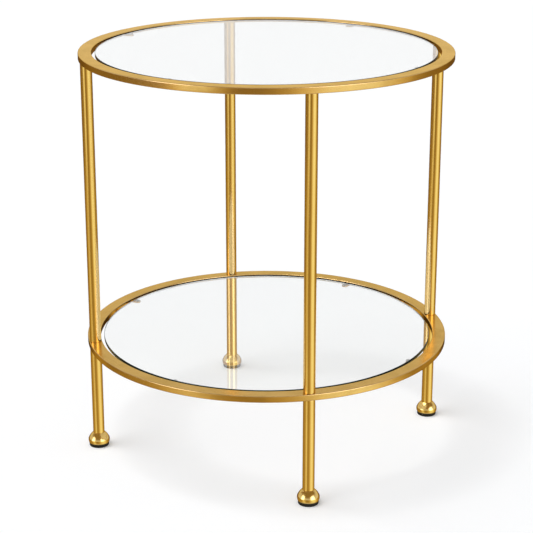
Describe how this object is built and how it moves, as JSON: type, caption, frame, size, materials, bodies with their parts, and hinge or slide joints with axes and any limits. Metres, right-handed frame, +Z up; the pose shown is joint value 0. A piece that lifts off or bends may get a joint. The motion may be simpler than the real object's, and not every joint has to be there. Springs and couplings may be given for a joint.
{
  "type": "tiered side table",
  "caption": "Round tiered side table: flat-tube rings on straight round legs with turned feet, each ring holding a clear glass disc that lifts out.",
  "frame": {"origin": "on the floor, at the centre of the four feet", "axes": "+Z up; the legs stand on the diagonals between X and Y, so +X and +Y look out between two legs"},
  "size_m": [0.508, 0.508, 0.56],
  "materials": {
    "gold_steel": "satin brass-plated, brushed along the tube",
    "polished_gold": "bright brass-plated, turned",
    "zinc_steel": "bright zinc plate",
    "clear_glass": "clear tempered glass with a polished edge",
    "clear_bumper": "clear soft plastic",
    "black_pad": "matt black"
  },
  "bodies": {
    "frame": {"foot_back_left": "polished_gold", "foot_back_right": "polished_gold", "foot_front_left": "polished_gold", "foot_front_right": "polished_gold", "foot_pad_back_left": "black_pad", "foot_pad_back_right": "black_pad", "foot_pad_front_left": "black_pad", "foot_pad_front_right": "black_pad", "foot_studs": "zinc_steel", "joining_studs": "zinc_steel", "lower_bumper_back": "clear_bumper", "lower_bumper_front": "clear_bumper", "lower_bumper_left": "clear_bumper", "lower_bumper_right": "clear_bumper", "lower_glass_tab_back": "gold_steel", "lower_glass_tab_front": "gold_steel", "lower_glass_tab_left": "gold_steel", "lower_glass_tab_right": "gold_steel", "lower_leg_back_left": "gold_steel", "lower_leg_back_right": "gold_steel", "lower_leg_bottom_inserts": "zinc_steel", "lower_leg_front_left": "gold_steel", "lower_leg_front_right": "gold_steel", "lower_leg_top_inserts": "zinc_steel", "lower_ring": "gold_steel", "lower_ring_bushes": "zinc_steel", "top_studs": "zinc_steel", "upper_bumper_back": "clear_bumper", "upper_bumper_front": "clear_bumper", "upper_bumper_left": "clear_bumper", "upper_bumper_right": "clear_bumper", "upper_glass_tab_back": "gold_steel", "upper_glass_tab_front": "gold_steel", "upper_glass_tab_left": "gold_steel", "upper_glass_tab_right": "gold_steel", "upper_leg_back_left": "gold_steel", "upper_leg_back_right": "gold_steel", "upper_leg_bottom_inserts": "zinc_steel", "upper_leg_front_left": "gold_steel", "upper_leg_front_right": "gold_steel", "upper_leg_top_inserts": "zinc_steel", "upper_ring": "gold_steel", "upper_ring_bosses": "zinc_steel"},
    "upper_glass": {"upper_glass": "clear_glass"},
    "lower_glass": {"lower_glass": "clear_glass"}
  },
  "joints": [
    {"name": "upper_glass_lift", "type": "slide", "parent": "frame", "child": "upper_glass", "axis": [0, 0, 1], "range_m": [0, 0.15]},
    {"name": "lower_glass_lift", "type": "slide", "parent": "frame", "child": "lower_glass", "axis": [0, 0, 1], "range_m": [0, 0.38]}
  ]
}
